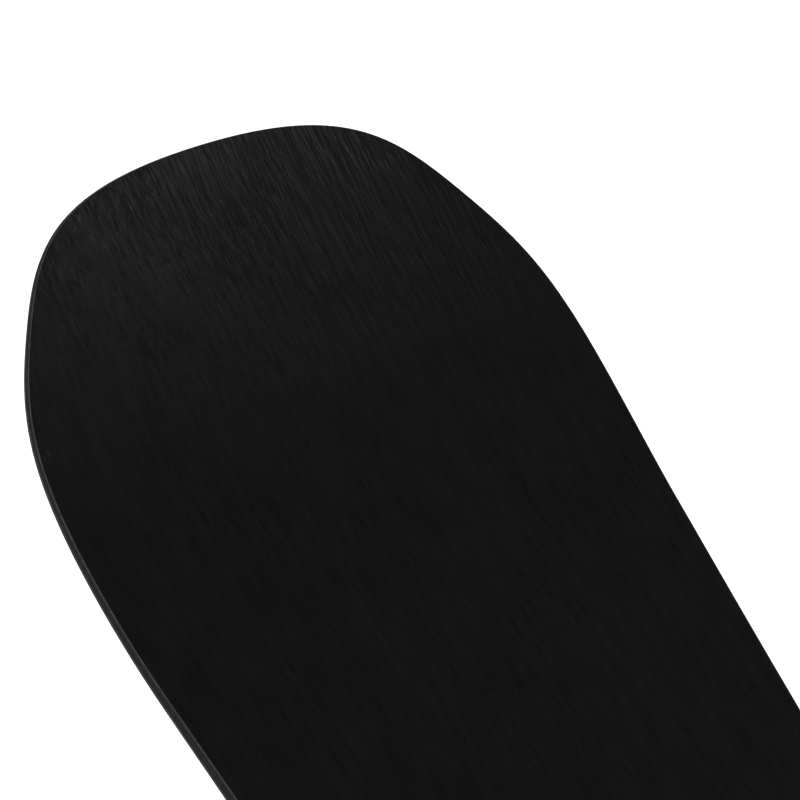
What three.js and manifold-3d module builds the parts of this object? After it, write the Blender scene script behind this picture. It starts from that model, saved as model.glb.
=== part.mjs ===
// Splitboard: a snowboard that divides lengthwise into two touring skis.
// Millimetres. +Y points to the nose, +X to the right half, +Z up from the base.
// The halves stand side by side at the seam, with both hooks and the tail clip
// turned back onto the left half, ready to be swung shut.

import * as THREE from "three";
import { mergeVertices } from "three/addons/utils/BufferGeometryUtils.js";
import Module from "manifold-3d";

const wasm = await Module();
wasm.setup();

// ---------------------------------------------------------------- board sizes
const LENGTH = 1580;
const NOSE_WIDTH = 304;
const NOSE_LENGTH = 280;
const TAIL_WIDTH = 299;
const TAIL_LENGTH = 262;
const SIDECUT_RADIUS = 7500;
const SIDECUT_ENTRY = 0.072;
const SEAM_GAP = 0.35;

// Tip curves, drawn for a nose 304 wide and 280 long and stretched to suit.
const DRAWN_WIDTH = 304;
const DRAWN_LENGTH = 280;
const SHOULDER = [126, 57.3];
const SHOULDER_ANGLE = 1.028;
const TIP_FLATNESS = 84.3;
const SHOULDER_PULL = 39.9;
const FLANK_PULL = 62.1;
const FLANK_RUN = 146.8;

const NOSE_KICK = 42;
const NOSE_KICK_LENGTH = 250;
const TAIL_KICK = 34;
const TAIL_KICK_LENGTH = 225;
const KICK_POWER = 1.65;

const TIP_THICKNESS = 4.4;
const FOOT_THICKNESS = 8;
const THIN_LENGTH = 130;
const TAPER_LENGTH = 430;

// --------------------------------------------------------------- layer sizes
const GLUE_LINE = 0.1;
const BASE_THICKNESS = 1.3;
const EDGE_HEIGHT = 2.0;
const EDGE_WIDTH = 2.2;
const TOP_LAMINATE_THICKNESS = 0.6;
const TOPSHEET_THICKNESS = 0.8;
const SIDEWALL_WIDTH = 9;
const INNER_SIDEWALL_WIDTH = 5;
const SIDEWALL_STEP = 0.2;
const SIDEWALL_SLOPE = 0.6;
const TOPSHEET_STEP = 0.1;
const CHAMFER_WIDTH = 0.8;
const CHAMFER_HEIGHT = 0.4;
const SPACER_LENGTH = 200;

// -------------------------------------------------------------- insert sizes
const FOOT_OFFSET = 250;
const INSERT_PITCH = 25;
const INSERT_ROWS = 3;
const INSERT_COLUMNS = [24, 64];
const TOURING_OFFSET = 90;
const TOURING_COLUMN = 66;
const TOURING_SPREAD = 32;
const TOURING_PITCH = 38;
const BARREL_DIAMETER = 9;
const THREAD_BORE = 5.2;
const STRIP_THICKNESS = 0.8;
const STRIP_MARGIN = 8;
const STRIP_CLEARANCE = 0.3;
const INSERT_FLOOR = 0.8;

// ------------------------------------------------------- hook and clip sizes
const PLATE_THICKNESS = 2;
const PLATE_CLEARANCE = 0.3;
const ARM_THICKNESS = 2.6;
const ARM_CLEARANCE = 0.3;
const PIN_DIAMETER = 6;
const PIN_CLEARANCE = 0.3;
const POST_DIAMETER = 6;
const POST_CLEARANCE = 0.4;
const CAP_HEIGHT = 1.6;
const CAP_DIAMETER = 11;
const HEAD_WALL = 4;
const SCREW_SHANK = 4;
const SCREW_HEAD = 7.6;
const SCREW_CLEARANCE = 0.25;
const SCREW_SOCKET = 2.6;
const SOCKET_DEPTH = 1.2;
const SCREW_MARGIN = 2;
const PLATE_CORNER = 4;
const PLATE_MARGIN = 1;

// Places along the board, and each fastener: its pivot and post stand this far
// from the seam.
const HOOK_OFFSET = 338;
const CLIP_FROM_TAIL = 70;
const HOOK = { pivot: 34, post: 20, width: 15, plateLength: 34, screwDepth: 4.5 };
const CLIP = { pivot: 26, post: 14, width: 12, plateLength: 28, screwDepth: 1.6 };

// ------------------------------------------------------- fineness of the mesh
const ROUND = 10;
const BARREL_SIDES = 8;
const SOCKET_SIDES = 6;
const SHOULDER_STEPS = 10;
const FLANK_STEPS = 9;
const SIDECUT_STEPS = 12;
const CORNER_STEPS = 4;
const OVERSHOOT = 1;

// ------------------------------------------------------------------ materials
function finish(colour, roughness, metalness) {
  return new THREE.MeshStandardMaterial({ color: colour, roughness, metalness });
}
const topsheetFinish = finish("#17161a", 0.55, 0);
const laminateFinish = finish("#8d9a78", 0.5, 0);
const woodFinish = finish("#c9a878", 0.7, 0);
const sidewallFinish = finish("#2b2b2e", 0.5, 0);
const baseFinish = finish("#1c1d20", 0.4, 0);
const edgeFinish = finish("#8f9296", 0.35, 1);
const insertFinish = finish("#a6a8ab", 0.35, 1);
const plateFinish = finish("#2a2b2d", 0.4, 1);
const armFinish = finish("#9a9da1", 0.3, 1);
const screwFinish = finish("#55575b", 0.35, 1);

// ------------------------------------------------------------- outline curves
// One half of the nose, from the tip back to where the sidecut starts. Each
// point is [distance from the seam plane, distance behind the tip].
function tipOutline(width, length) {
  const wide = width / 2;
  const across = width / DRAWN_WIDTH;
  const along = length / DRAWN_LENGTH;
  const shoulder = new THREE.Vector2(SHOULDER[0] * across, SHOULDER[1] * along);
  const heading = new THREE.Vector2(
    Math.cos(SHOULDER_ANGLE) * across, Math.sin(SHOULDER_ANGLE) * along);
  const toShoulder = new THREE.CubicBezierCurve(
    new THREE.Vector2(0, 0),
    new THREE.Vector2(TIP_FLATNESS * across, 0),
    shoulder.clone().addScaledVector(heading, -SHOULDER_PULL),
    shoulder,
  );
  const run = FLANK_RUN * along;
  const toSidecut = new THREE.CubicBezierCurve(
    shoulder,
    shoulder.clone().addScaledVector(heading, FLANK_PULL),
    new THREE.Vector2(wide + SIDECUT_ENTRY * run, length - run),
    new THREE.Vector2(wide, length),
  );
  const flank = toSidecut.getPoints(FLANK_STEPS).slice(1);
  return [...toShoulder.getPoints(SHOULDER_STEPS), ...flank];
}

// The whole right-hand outline from nose to tail, as points [x, y].
function outlinePoints() {
  const nose = tipOutline(NOSE_WIDTH, NOSE_LENGTH);
  const tail = tipOutline(TAIL_WIDTH, TAIL_LENGTH);
  const front = LENGTH / 2 - NOSE_LENGTH;
  const back = -LENGTH / 2 + TAIL_LENGTH;
  const points = nose.map((p) => [p.x, LENGTH / 2 - p.y]);
  for (let i = 1; i < SIDECUT_STEPS; i += 1) {
    const share = i / SIDECUT_STEPS;
    const along = share * (front - back);
    const straight = NOSE_WIDTH / 2 + (TAIL_WIDTH - NOSE_WIDTH) / 2 * share;
    const sag = along * (front - back - along) / (2 * SIDECUT_RADIUS);
    points.push([straight - sag, front - along]);
  }
  tail.reverse().forEach((p) => points.push([p.x, -LENGTH / 2 + p.y]));
  points[0][0] = SEAM_GAP / 2;
  points[points.length - 1][0] = SEAM_GAP / 2;
  return points;
}

// Adds a point where the outline passes a place along the board, so that every
// layer has a section there.
function withStation(points, y) {
  const next = points.findIndex((point) => point[1] < y);
  const [before, after] = [points[next - 1], points[next]];
  const share = (before[1] - y) / (before[1] - after[1]);
  const added = [before[0] + (after[0] - before[0]) * share, y];
  return [...points.slice(0, next), added, ...points.slice(next)];
}
const spacerJoint = LENGTH / 2 - SPACER_LENGTH;
const taperStart = LENGTH / 2 - THIN_LENGTH;
const taperEnd = LENGTH / 2 - TAPER_LENGTH;
const creases = [spacerJoint, taperStart, taperEnd, -taperEnd, -taperStart, -spacerJoint];
const OUTLINE = creases.reduce(withStation, outlinePoints());

// The outline moved inwards by a distance, point for point.
function insetOutline(distance) {
  return OUTLINE.map((point, i) => {
    const before = OUTLINE[Math.max(i - 1, 0)];
    const after = OUTLINE[Math.min(i + 1, OUTLINE.length - 1)];
    const step = new THREE.Vector2(after[0] - before[0], after[1] - before[1]).normalize();
    if (i === 0 || i === OUTLINE.length - 1) {
      return [point[0], point[1] + Math.sign(-point[1]) * distance];
    }
    return [point[0] + step.y * distance, point[1] - step.x * distance];
  });
}

// ------------------------------------------------------------ height profiles
// Height of the base above the ground: flat, with a kick at each end.
function rise(y) {
  const toNose = (y - (LENGTH / 2 - NOSE_KICK_LENGTH)) / NOSE_KICK_LENGTH;
  const toTail = (-LENGTH / 2 + TAIL_KICK_LENGTH - y) / TAIL_KICK_LENGTH;
  if (toNose > 0) {
    return NOSE_KICK * toNose ** KICK_POWER;
  }
  if (toTail > 0) {
    return TAIL_KICK * toTail ** KICK_POWER;
  }
  return 0;
}

// Thickness of the board: thin tips, full thickness under the feet.
function thickness(y) {
  const fromTip = LENGTH / 2 - Math.abs(y);
  const share = (fromTip - THIN_LENGTH) / (TAPER_LENGTH - THIN_LENGTH);
  return TIP_THICKNESS + (FOOT_THICKNESS - TIP_THICKNESS) * Math.min(Math.max(share, 0), 1);
}

// Each level is a height above the floor at a place along the board.
const ground = (y) => rise(y);
const baseTop = (y) => rise(y) + BASE_THICKNESS;
const lowerLaminateBottom = (y) => baseTop(y) + GLUE_LINE;
const edgeTop = (y) => rise(y) + EDGE_HEIGHT;
const coreBottom = (y) => edgeTop(y) + GLUE_LINE;
const topsheetTop = (y) => rise(y) + thickness(y);
const topsheetBottom = (y) => topsheetTop(y) - TOPSHEET_THICKNESS;
const upperLaminateTop = (y) => topsheetBottom(y) - GLUE_LINE;
const upperLaminateBottom = (y) => upperLaminateTop(y) - TOP_LAMINATE_THICKNESS;
const coreTop = (y) => upperLaminateBottom(y) - GLUE_LINE;
const chamferFoot = (y) => topsheetTop(y) - CHAMFER_HEIGHT;

// -------------------------------------------------------------- solid helpers
// Closed skin through a row of rings that all have the same number of points.
function loft(rings) {
  const around = rings[0].length;
  const vertices = rings.flat(2);
  const triangles = [];
  for (let i = 0; i + 1 < rings.length; i += 1) {
    for (let j = 0; j < around; j += 1) {
      const a = i * around + j;
      const b = i * around + (j + 1) % around;
      triangles.push(a, b, b + around, a, b + around, a + around);
    }
  }
  const last = (rings.length - 1) * around;
  for (let j = 1; j + 1 < around; j += 1) {
    triangles.push(0, j + 1, j);
    triangles.push(last, last + j, last + j + 1);
  }
  const geometry = new THREE.BufferGeometry();
  geometry.setAttribute("position", new THREE.Float32BufferAttribute(vertices, 3));
  geometry.setIndex(triangles);
  return outward(geometry);
}

// Turns every face outwards when the rings ran the other way round.
function outward(geometry) {
  const p = geometry.getAttribute("position");
  const index = geometry.getIndex();
  const [a, b, c] = [new THREE.Vector3(), new THREE.Vector3(), new THREE.Vector3()];
  let volume = 0;
  for (let i = 0; i < index.count; i += 3) {
    a.fromBufferAttribute(p, index.getX(i));
    b.fromBufferAttribute(p, index.getX(i + 1));
    c.fromBufferAttribute(p, index.getX(i + 2));
    volume += a.dot(b.cross(c));
  }
  if (volume < 0) {
    for (let i = 0; i < index.count; i += 3) {
      const first = index.getX(i);
      index.setX(i, index.getX(i + 2));
      index.setX(i + 2, first);
    }
  }
  return geometry;
}

function toSolid(geometry) {
  const bare = geometry.clone();
  bare.deleteAttribute("normal");
  bare.deleteAttribute("uv");
  const merged = mergeVertices(bare, 1e-4);
  return new wasm.Manifold(new wasm.Mesh({
    numProp: 3,
    vertProperties: new Float32Array(merged.getAttribute("position").array),
    triVerts: new Uint32Array(merged.getIndex().array),
  }));
}

function toGeometry(solid) {
  const mesh = solid.getMesh();
  const geometry = new THREE.BufferGeometry();
  geometry.setAttribute("position", new THREE.Float32BufferAttribute(mesh.vertProperties, 3));
  geometry.setIndex(new THREE.Uint32BufferAttribute(mesh.triVerts, 1));
  return geometry;
}

function cut(geometry, cutters) {
  return toGeometry(cutters.reduce((solid, tool) => solid.subtract(toSolid(tool)), toSolid(geometry)));
}

function join(geometries) {
  const [first, ...rest] = geometries.map(toSolid);
  return toGeometry(rest.reduce((solid, piece) => solid.add(piece), first));
}

// Upright cylinder between two heights.
function rod(diameter, x, y, low, high, sides = ROUND) {
  const geometry = new THREE.CylinderGeometry(diameter / 2, diameter / 2, high - low, sides);
  geometry.rotateX(Math.PI / 2);
  geometry.translate(x, y, (low + high) / 2);
  return geometry;
}

// Flat plate from a drawn shape.
function slab(shape, low, high) {
  const geometry = new THREE.ExtrudeGeometry(shape, {
    depth: high - low, bevelEnabled: false, curveSegments: CORNER_STEPS,
  });
  geometry.translate(0, 0, low);
  return geometry;
}

function roundedRectangle(x0, y0, x1, y1, radius) {
  const shape = new THREE.Shape();
  shape.moveTo(x0 + radius, y0);
  shape.lineTo(x1 - radius, y0);
  shape.absarc(x1 - radius, y0 + radius, radius, -Math.PI / 2, 0);
  shape.lineTo(x1, y1 - radius);
  shape.absarc(x1 - radius, y1 - radius, radius, 0, Math.PI / 2);
  shape.lineTo(x0 + radius, y1);
  shape.absarc(x0 + radius, y1 - radius, radius, Math.PI / 2, Math.PI);
  shape.lineTo(x0, y0 + radius);
  shape.absarc(x0 + radius, y0 + radius, radius, Math.PI, Math.PI * 1.5);
  return shape;
}

// The same geometry on the other side of the seam.
function mirrored(geometry) {
  return outward(toGeometry(toSolid(geometry).mirror([1, 0, 0])));
}

const board = new THREE.Group();

function place(name, geometry, material, parent = board) {
  const mesh = new THREE.Mesh(geometry, material);
  mesh.name = name;
  parent.add(mesh);
  return mesh;
}

// -------------------------------------------------------------- board layers
const seamSide = SEAM_GAP / 2;

// One layer of the right half between two places along the board. Its section
// runs from an inner line to the inset outline, which may differ at the top.
function layer({ inner, insets, heights, from = LENGTH / 2, to = -LENGTH / 2 }) {
  const outlines = insets.map((inset) => insetOutline(inset));
  const rows = [];
  for (let i = 1; i + 1 < OUTLINE.length; i += 1) {
    rows.push(outlines.map((line) => line[i]));
  }
  const within = clipRows(rows, from, to);
  const rings = within.map((row) => {
    const outer = row.map(([x, y], k) => [x, y, heights[k](y)]);
    const lowY = row[0][1];
    const topY = row[row.length - 1][1];
    return [
      [inner, lowY, heights[0](lowY)],
      ...outer,
      [inner, topY, heights[heights.length - 1](topY)],
    ];
  });
  return loft(rings);
}

// Keeps the rows between two places and ends them squarely there.
function clipRows(rows, from, to) {
  const whole = rows.filter((row) => row[0][1] < from && row[0][1] > to);
  const first = rows.indexOf(whole[0]);
  const last = rows.indexOf(whole[whole.length - 1]);
  const start = first > 0 ? [squareRow(rows[first - 1], rows[first], from)] : [];
  const end = last + 1 < rows.length ? [squareRow(rows[last], rows[last + 1], to)] : [];
  return [...start, ...whole, ...end];
}

function squareRow(before, after, y) {
  return before.map(([x, y0], k) => {
    const [x1, y1] = after[k];
    return [x + (x1 - x) * (y - y0) / (y1 - y0), y];
  });
}

const sidewallTopInset = SIDEWALL_STEP + SIDEWALL_SLOPE;
const topsheetInset = sidewallTopInset + TOPSHEET_STEP;
const betweenEdges = EDGE_WIDTH + GLUE_LINE;

function baseLayer() {
  return layer({
    inner: seamSide + betweenEdges,
    insets: [betweenEdges, betweenEdges],
    heights: [ground, baseTop],
  });
}

function lowerLaminateLayer() {
  return layer({
    inner: seamSide + betweenEdges,
    insets: [betweenEdges, betweenEdges],
    heights: [lowerLaminateBottom, edgeTop],
  });
}

// Steel edge round the outside, from seam to seam over nose and tail.
function outerEdge() {
  const outside = insetOutline(0);
  const inside = insetOutline(EDGE_WIDTH);
  const rings = outside.map((point, i) => [
    [...point, ground(point[1])],
    [...inside[i], ground(inside[i][1])],
    [...inside[i], edgeTop(inside[i][1])],
    [...point, edgeTop(point[1])],
  ]);
  return loft(rings);
}

// Straight steel edge along the seam, held between the ends of the outer one.
function innerEdge() {
  const rows = insetOutline(betweenEdges).slice(1, -1);
  const rings = rows.map(([, y]) => [
    [seamSide, y, ground(y)],
    [seamSide + EDGE_WIDTH, y, ground(y)],
    [seamSide + EDGE_WIDTH, y, edgeTop(y)],
    [seamSide, y, edgeTop(y)],
  ]);
  return loft(rings);
}

function tipSpacer(atNose) {
  const reach = spacerJoint + GLUE_LINE / 2;
  return layer({
    inner: seamSide,
    insets: [SIDEWALL_STEP, sidewallTopInset],
    heights: [coreBottom, coreTop],
    from: atNose ? LENGTH / 2 : -reach,
    to: atNose ? reach : -LENGTH / 2,
  });
}

function coreLayer() {
  const reach = spacerJoint - GLUE_LINE / 2;
  return layer({
    inner: seamSide + INNER_SIDEWALL_WIDTH + GLUE_LINE,
    insets: [SIDEWALL_WIDTH + GLUE_LINE, SIDEWALL_WIDTH + GLUE_LINE],
    heights: [coreBottom, coreTop],
    from: reach,
    to: -reach,
  });
}

// Places along the board where the core and its sidewalls have a section.
function coreStations() {
  const reach = spacerJoint - GLUE_LINE / 2;
  const rows = insetOutline(SIDEWALL_WIDTH).map((point) => [point]);
  return clipRows(rows, reach, -reach).map((row) => row[0][1]);
}

function innerSidewall() {
  const rings = coreStations().map((y) => [
    [seamSide, y, coreBottom(y)],
    [seamSide + INNER_SIDEWALL_WIDTH, y, coreBottom(y)],
    [seamSide + INNER_SIDEWALL_WIDTH, y, coreTop(y)],
    [seamSide, y, coreTop(y)],
  ]);
  return loft(rings);
}

function outerSidewall() {
  const reach = spacerJoint - GLUE_LINE / 2;
  const outlines = [SIDEWALL_WIDTH, SIDEWALL_STEP, sidewallTopInset].map((inset) => insetOutline(inset));
  const rows = OUTLINE.map((_, i) => outlines.map((line) => line[i]));
  const rings = clipRows(rows, reach, -reach).map(([inside, low, high]) => [
    [...inside, coreBottom(inside[1])],
    [...low, coreBottom(low[1])],
    [...high, coreTop(high[1])],
    [...inside, coreTop(inside[1])],
  ]);
  return loft(rings);
}

function upperLaminateLayer() {
  return layer({
    inner: seamSide,
    insets: [sidewallTopInset, sidewallTopInset],
    heights: [upperLaminateBottom, upperLaminateTop],
  });
}

function topsheetLayer() {
  return layer({
    inner: seamSide,
    insets: [topsheetInset, topsheetInset, topsheetInset + CHAMFER_WIDTH],
    heights: [topsheetBottom, chamferFoot, topsheetTop],
  });
}

// ------------------------------------------------------------ threaded inserts
// Places of the barrels in each strip, as [x, y] on the right half.
function footInserts(side) {
  const places = [];
  for (const x of INSERT_COLUMNS) {
    for (let row = 0; row < INSERT_ROWS; row += 1) {
      places.push([x, side * FOOT_OFFSET + (row - (INSERT_ROWS - 1) / 2) * INSERT_PITCH]);
    }
  }
  return places;
}

function touringInserts() {
  return [
    [TOURING_COLUMN, TOURING_OFFSET + TOURING_PITCH],
    [TOURING_COLUMN - TOURING_SPREAD / 2, TOURING_OFFSET],
    [TOURING_COLUMN + TOURING_SPREAD / 2, TOURING_OFFSET],
  ];
}

const stripBottom = EDGE_HEIGHT + GLUE_LINE;
const stripTop = stripBottom + STRIP_THICKNESS;

function stripPlate(places, grow) {
  const box = new THREE.Box2().setFromPoints(places.map(([x, y]) => new THREE.Vector2(x, y)));
  const margin = STRIP_MARGIN + grow;
  return roundedRectangle(box.min.x - margin, box.min.y - margin,
    box.max.x + margin, box.max.y + margin, STRIP_MARGIN / 2);
}

// A thin strip under the core with a threaded barrel standing at each place.
function insertStrip(places) {
  const plate = slab(stripPlate(places, 0), stripBottom, stripTop);
  const barrels = places.map(([x, y]) => rod(BARREL_DIAMETER, x, y, stripBottom,
    FOOT_THICKNESS, BARREL_SIDES));
  const bores = places.map(([x, y]) => rod(THREAD_BORE, x, y,
    stripBottom + INSERT_FLOOR, FOOT_THICKNESS + OVERSHOOT, BARREL_SIDES));
  return cut(join([plate, ...barrels]), bores);
}

// Tools that clear the strip and its barrels out of the layers above.
function insertPockets(places) {
  const recess = slab(stripPlate(places, STRIP_CLEARANCE), stripBottom - OVERSHOOT,
    stripTop + STRIP_CLEARANCE);
  const holes = places.map(([x, y]) => rod(BARREL_DIAMETER + 2 * STRIP_CLEARANCE, x, y,
    stripBottom, FOOT_THICKNESS + OVERSHOOT, BARREL_SIDES));
  return { recess, holes };
}

// ----------------------------------------------------------- hooks and clip
// A place on the board: its own ground plane follows the slope of the topsheet.
function mountingGroup(y) {
  const slope = topsheetTop(y + 0.5) - topsheetTop(y - 0.5);
  const group = new THREE.Group();
  group.position.set(0, y, topsheetTop(y));
  group.rotation.x = Math.atan(slope);
  group.updateMatrixWorld(true);
  return group;
}

const armBottom = PLATE_THICKNESS + PLATE_CLEARANCE + ARM_CLEARANCE;
const armTop = armBottom + ARM_THICKNESS;
const plateTop = PLATE_CLEARANCE + PLATE_THICKNESS;

// Swinging arm drawn about its pivot at the origin, pointing along +Y. Its
// slot is an arc about the pivot, so the post slides in as the arm swings shut.
function armShape(size) {
  const reach = size.pivot + size.post;
  const halfSlot = POST_DIAMETER / 2 + POST_CLEARANCE;
  const inner = reach - halfSlot;
  const outer = reach + halfSlot;
  const half = size.width / 2;
  const up = Math.PI / 2;
  const end = outer + HEAD_WALL;
  const lead = up - Math.asin(half / end);
  const leadInner = up - Math.asin(half / inner);
  const leadOuter = up - Math.asin(half / outer);
  const shape = new THREE.Shape();
  shape.absarc(0, 0, half, Math.PI, 2 * Math.PI);
  shape.lineTo(inner * Math.cos(leadInner), inner * Math.sin(leadInner));
  shape.absarc(0, 0, inner, leadInner, up);
  shape.absarc(reach * Math.cos(up), reach * Math.sin(up), halfSlot,
    up + Math.PI, up, true);
  shape.absarc(0, 0, outer, up, leadOuter, true);
  shape.lineTo(end * Math.cos(lead), end * Math.sin(lead));
  shape.absarc(0, 0, end, lead, Math.PI - lead);
  const hole = new THREE.Path();
  hole.absarc(0, 0, PIN_DIAMETER / 2 + PIN_CLEARANCE, 0, 2 * Math.PI, true);
  shape.holes.push(hole);
  return shape;
}

function arm(size) {
  return slab(armShape(size), armBottom, armTop);
}

// Countersunk screw standing on its shank, head flush with the plate.
function screw(size) {
  const head = SCREW_HEAD / 2;
  const shank = SCREW_SHANK / 2;
  const cone = head - shank;
  const profile = [
    [0, -size.screwDepth],
    [shank, -size.screwDepth],
    [shank, plateTop - cone],
    [head, plateTop],
    [0, plateTop],
  ];
  const body = new THREE.LatheGeometry(profile.map(([r, z]) => new THREE.Vector2(r, z)), ROUND);
  body.rotateX(Math.PI / 2);
  const socket = rod(SCREW_SOCKET, 0, 0, plateTop - SOCKET_DEPTH, plateTop + OVERSHOOT,
    SOCKET_SIDES);
  return cut(body, [socket]);
}

function screwHole(x, y) {
  const head = SCREW_HEAD / 2 + SCREW_CLEARANCE;
  const shank = SCREW_SHANK / 2 + SCREW_CLEARANCE;
  const cone = head - shank;
  const profile = [
    [0, -OVERSHOOT],
    [shank, -OVERSHOOT],
    [shank, plateTop - cone],
    [head, plateTop],
    [head, plateTop + OVERSHOOT],
    [0, plateTop + OVERSHOOT],
  ];
  const tool = new THREE.LatheGeometry(profile.map(([r, z]) => new THREE.Vector2(r, z)), ROUND);
  tool.rotateX(Math.PI / 2);
  tool.translate(x, y, 0);
  return tool;
}

// Plate with two screw holes, centred on x and spread along Y.
function screwedPlate(size, x, halfWidth) {
  const halfLength = size.plateLength / 2;
  const shape = roundedRectangle(x - halfWidth, -halfLength, x + halfWidth, halfLength,
    PLATE_CORNER);
  const holes = screwPlaces(size, x).map(([sx, sy]) => screwHole(sx, sy));
  return cut(slab(shape, PLATE_CLEARANCE, plateTop), holes);
}

function screwPlaces(size, x) {
  const spread = size.plateLength / 2 - SCREW_HEAD / 2 - SCREW_MARGIN;
  return [[x, spread], [x, -spread]];
}

function pivotPlate(size) {
  const plate = screwedPlate(size, 0, size.width / 2 + PLATE_MARGIN);
  const hole = rod(PIN_DIAMETER + 2 * PIN_CLEARANCE, 0, 0, 0, plateTop + OVERSHOOT);
  return cut(plate, [hole]);
}

function pivotPin() {
  const low = PLATE_CLEARANCE;
  const cap = armTop + ARM_CLEARANCE;
  return join([
    rod(PIN_DIAMETER, 0, 0, low, cap + CAP_HEIGHT / 2),
    rod(CAP_DIAMETER, 0, 0, cap, cap + CAP_HEIGHT),
  ]);
}

// Catch plate with the headed post that the arm's slot slides round.
function catchPlate(size) {
  const cap = armTop + ARM_CLEARANCE;
  return join([
    screwedPlate(size, 0, size.width / 2),
    rod(POST_DIAMETER, 0, 0, PLATE_CLEARANCE, cap + CAP_HEIGHT / 2),
    rod(CAP_DIAMETER, 0, 0, cap, cap + CAP_HEIGHT),
  ]);
}

// One complete fastener across the seam, arm parked along +Y on the left half.
function fastener(name, y, size) {
  const group = mountingGroup(y);
  board.add(group);
  const left = new THREE.Group();
  left.position.x = -size.pivot;
  const right = new THREE.Group();
  right.position.x = size.post;
  group.add(left, right);
  place(`${name}_pivot_plate`, pivotPlate(size), plateFinish, left);
  place(`${name}_pivot_pin`, pivotPin(), armFinish, left);
  place(`${name}_arm`, arm(size), armFinish, left);
  place(`${name}_catch_plate`, catchPlate(size), plateFinish, right);
  screwPlaces(size, 0).forEach(([x, sy], i) => {
    const end = i === 0 ? "front" : "rear";
    place(`${name}_pivot_screw_${end}`, screw(size), screwFinish, left).position.set(x, sy, 0);
    place(`${name}_catch_screw_${end}`, screw(size), screwFinish, right).position.set(x, sy, 0);
  });
}

// Holes in the board for the screws of one fastener, on one side of the seam.
function fastenerHoles(y, size, x) {
  const { matrixWorld } = mountingGroup(y);
  const depth = size.screwDepth + SCREW_CLEARANCE;
  return screwPlaces(size, x).map(([sx, sy]) => (
    rod(SCREW_SHANK + 2 * SCREW_CLEARANCE, sx, sy, -depth, OVERSHOOT).applyMatrix4(matrixWorld)));
}

// ------------------------------------------------------------------- assembly
const fasteners = [
  ["front_hook", HOOK_OFFSET, HOOK],
  ["rear_hook", -HOOK_OFFSET, HOOK],
  ["tail_clip", CLIP_FROM_TAIL - LENGTH / 2, CLIP],
];
const insertGroups = [
  ["front_foot_inserts", footInserts(1)],
  ["rear_foot_inserts", footInserts(-1)],
  ["touring_inserts", touringInserts()],
];

function buildHalf(side) {
  const isLeft = side === "left";
  const hand = (geometry) => (isLeft ? mirrored(geometry) : geometry);
  const pockets = insertGroups.map(([, places]) => insertPockets(places));
  const recesses = pockets.map((pocket) => pocket.recess);
  const barrelHoles = pockets.flatMap((pocket) => pocket.holes);
  const screwHoles = fasteners.flatMap(([, y, size]) => (
    fastenerHoles(y, size, isLeft ? size.pivot : size.post)));
  const through = [...barrelHoles, ...screwHoles];

  place(`base_${side}`, hand(baseLayer()), baseFinish);
  place(`outer_edge_${side}`, hand(outerEdge()), edgeFinish);
  place(`inner_edge_${side}`, hand(innerEdge()), edgeFinish);
  place(`lower_laminate_${side}`, hand(lowerLaminateLayer()), laminateFinish);
  place(`nose_spacer_${side}`, hand(tipSpacer(true)), sidewallFinish);
  place(`tail_spacer_${side}`, hand(cut(tipSpacer(false), screwHoles)), sidewallFinish);
  place(`core_${side}`, hand(cut(coreLayer(), [...recesses, ...through])), woodFinish);
  place(`outer_sidewall_${side}`, hand(outerSidewall()), sidewallFinish);
  place(`inner_sidewall_${side}`, hand(innerSidewall()), sidewallFinish);
  place(`upper_laminate_${side}`, hand(cut(upperLaminateLayer(), through)), laminateFinish);
  place(`topsheet_${side}`, hand(cut(topsheetLayer(), through)), topsheetFinish);
  insertGroups.forEach(([name, places]) => {
    place(`${name}_${side}`, hand(insertStrip(places)), insertFinish);
  });
}

buildHalf("left");
buildHalf("right");
fasteners.forEach(([name, y, size]) => fastener(name, y, size));

export default board;
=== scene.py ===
import math

import bmesh
import bpy
from mathutils import Matrix, Vector


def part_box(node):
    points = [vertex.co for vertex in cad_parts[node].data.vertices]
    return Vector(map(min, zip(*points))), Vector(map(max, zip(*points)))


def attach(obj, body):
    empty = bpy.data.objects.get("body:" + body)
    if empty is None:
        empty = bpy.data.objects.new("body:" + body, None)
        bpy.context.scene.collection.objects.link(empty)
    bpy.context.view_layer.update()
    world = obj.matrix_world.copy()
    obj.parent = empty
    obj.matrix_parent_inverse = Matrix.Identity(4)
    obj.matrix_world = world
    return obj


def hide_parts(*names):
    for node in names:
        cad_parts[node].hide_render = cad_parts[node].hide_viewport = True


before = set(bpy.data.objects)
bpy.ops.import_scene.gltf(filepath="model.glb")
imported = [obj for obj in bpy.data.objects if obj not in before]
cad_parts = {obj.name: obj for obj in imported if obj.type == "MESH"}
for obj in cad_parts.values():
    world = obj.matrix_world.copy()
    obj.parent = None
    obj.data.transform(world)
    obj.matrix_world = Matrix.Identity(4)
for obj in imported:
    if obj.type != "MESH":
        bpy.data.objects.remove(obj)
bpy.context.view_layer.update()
MM = 0.001


# ----------------------------------------------------------------- the camera
# A long lens looks down on the nose from behind and from the left, rolled so
# that the board runs from the lower right to the upper left.
nose_tip_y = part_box("outer_edge_right")[1][1]
view_aim = Vector((0.0489, nose_tip_y - 0.1463, 0.0))
view_side = Vector((0.8157, -0.4970, 0.2960))
view_down = Vector((-0.2815, -0.7880, -0.5475))
VIEW_DISTANCE = 2.4735
LENS = 225
SENSOR_WIDTH = 36

camera_data = bpy.data.cameras.new("camera")
camera_data.lens = LENS
camera_data.sensor_width = SENSOR_WIDTH
camera = bpy.data.objects.new("camera", camera_data)
bpy.context.scene.collection.objects.link(camera)
bpy.context.scene.camera = camera
view_up = -view_down.normalized()
view_back = view_side.cross(view_up).normalized()
view_right = view_up.cross(view_back)
view_turn = Matrix((view_right, view_up, view_back)).transposed().to_4x4()
camera.matrix_world = Matrix.Translation(view_aim + view_back * VIEW_DISTANCE) @ view_turn


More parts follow.
